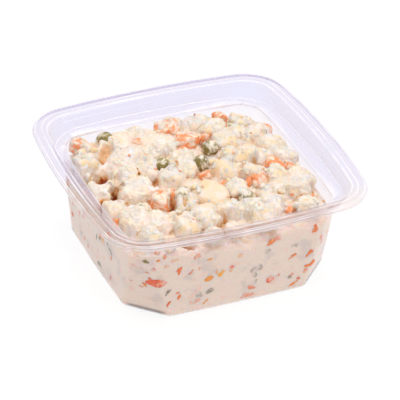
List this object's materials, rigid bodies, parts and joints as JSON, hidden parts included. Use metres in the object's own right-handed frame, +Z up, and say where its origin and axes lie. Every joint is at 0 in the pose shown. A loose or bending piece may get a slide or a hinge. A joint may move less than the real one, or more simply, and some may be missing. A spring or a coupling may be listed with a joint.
{
  "type": "potato salad in a square deli tub",
  "caption": "Potato salad with potato dice, carrot, peas and mayonnaise, heaped in an open clear square tub with a wide flanged rim.",
  "frame": {"origin": "centre of the tub's flat base, on the surface that it stands on", "axes": "+Z up out of the open tub, +X to the right and +Y to the back, both square to the tub's sides"},
  "size_m": [0.126, 0.126, 0.0482],
  "materials": {
    "clear_plastic": "thin clear thermoformed plastic with a faint cool tint, glossy",
    "dressed_salad": "cream-coloured cooked potato in mayonnaise, moist with soft highlights, with salmon-orange carrot and olive-green peas"
  },
  "bodies": {
    "root": {"tub": "clear_plastic", "salad": "dressed_salad"}
  },
  "joints": []
}
